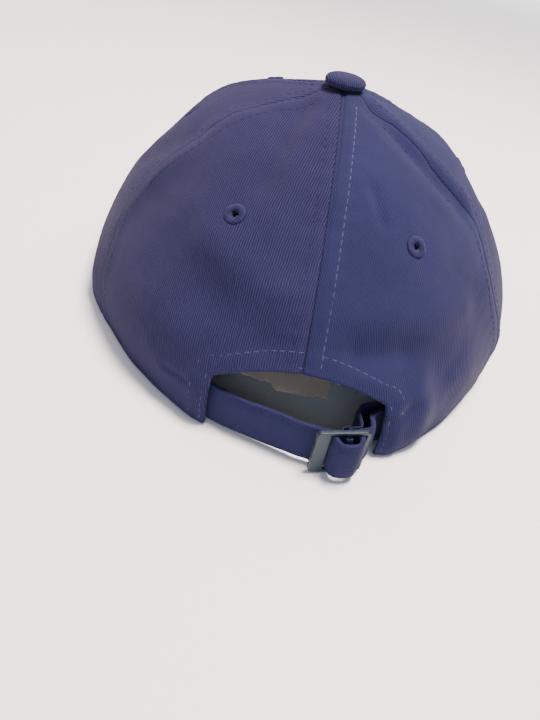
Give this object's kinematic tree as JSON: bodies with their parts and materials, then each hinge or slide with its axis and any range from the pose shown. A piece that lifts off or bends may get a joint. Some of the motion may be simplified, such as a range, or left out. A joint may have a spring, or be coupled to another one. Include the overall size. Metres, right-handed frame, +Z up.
{
  "type": "baseball cap",
  "caption": "Soft twill baseball cap with a covered button, sewn eyelets, a curved brim and an arched back opening closed by a strap and slide buckle.",
  "frame": {"origin": "middle of the bounding box on the plane the cap rests on", "axes": "+Z up through the button, -Y toward the tip of the brim, +X toward the wearer's left"},
  "size_m": [0.176, 0.2914, 0.0955],
  "materials": {
    "twill": "matt cotton twill, indigo navy",
    "eyelet_thread": "wound thread, slightly lighter than the cloth",
    "band_cloth": "matt dark cotton",
    "buckle_metal": "satin slate blue paint",
    "label_cloth": "plain woven tape, grey beige, blank"
  },
  "bodies": {
    "root": {"panel_back_left": "twill", "panel_side_left": "twill", "panel_front_left": "twill", "panel_front_right": "twill", "panel_side_right": "twill", "panel_back_right": "twill", "eyelet_back_left": "eyelet_thread", "eyelet_back_right": "eyelet_thread", "eyelet_side_left": "eyelet_thread", "eyelet_side_right": "eyelet_thread", "eyelet_front_left": "eyelet_thread", "eyelet_front_right": "eyelet_thread", "button": "twill", "brim": "twill", "sweatband": "band_cloth", "strap": "twill", "strap_tab": "twill", "buckle": "buckle_metal", "care_label": "label_cloth"}
  },
  "joints": []
}
